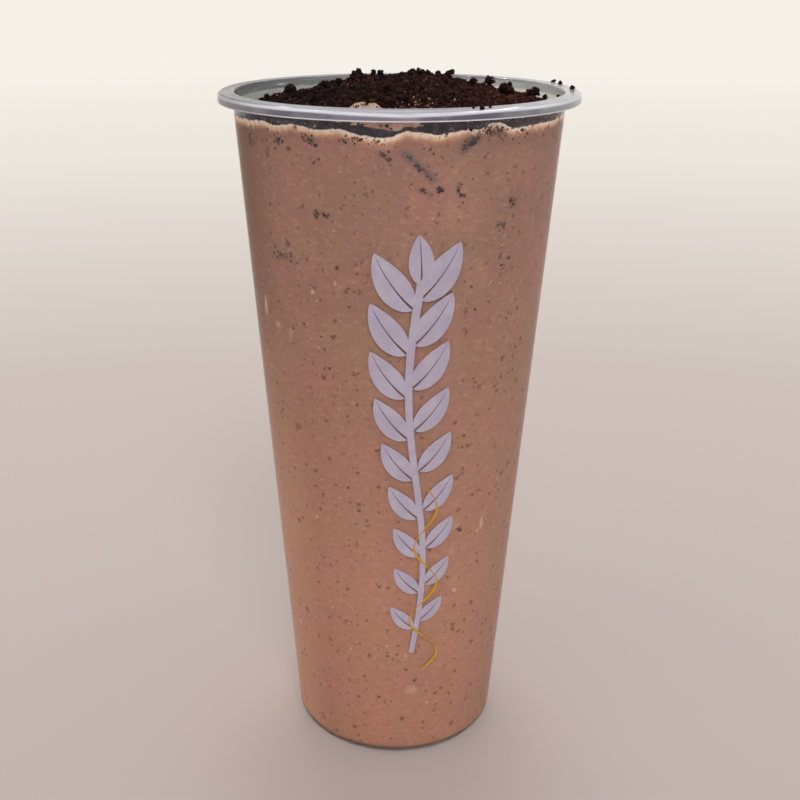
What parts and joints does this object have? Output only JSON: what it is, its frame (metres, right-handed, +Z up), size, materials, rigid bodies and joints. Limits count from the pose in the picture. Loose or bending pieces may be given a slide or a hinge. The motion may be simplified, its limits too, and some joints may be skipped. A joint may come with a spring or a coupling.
{
  "type": "cookies and cream milkshake in a clear plastic cup",
  "caption": "Tall tapered clear plastic cup with a flanged rim, filled with a speckled cocoa-brown milkshake under a heap of dark biscuit crumbs.",
  "frame": {"origin": "middle of the cup's foot, on the surface that it stands on", "axes": "+Z up along the cup's axis, front with the printed ornament towards -Y, +X to the right seen from the front"},
  "size_m": [0.09, 0.09, 0.1842],
  "materials": {
    "cup": "clear, very slightly milky polypropylene, smooth",
    "milkshake": "opaque frothy drink, fine dark specks, soft wet sheen",
    "crumbs": "dry dark cocoa biscuit crumbs, matt",
    "print": "thin opaque ink printed on the cup's outside, pale lilac with a fine golden line"
  },
  "bodies": {
    "root": {"cup": "cup", "milkshake": "milkshake", "crumb_topping": "crumbs"}
  },
  "joints": []
}
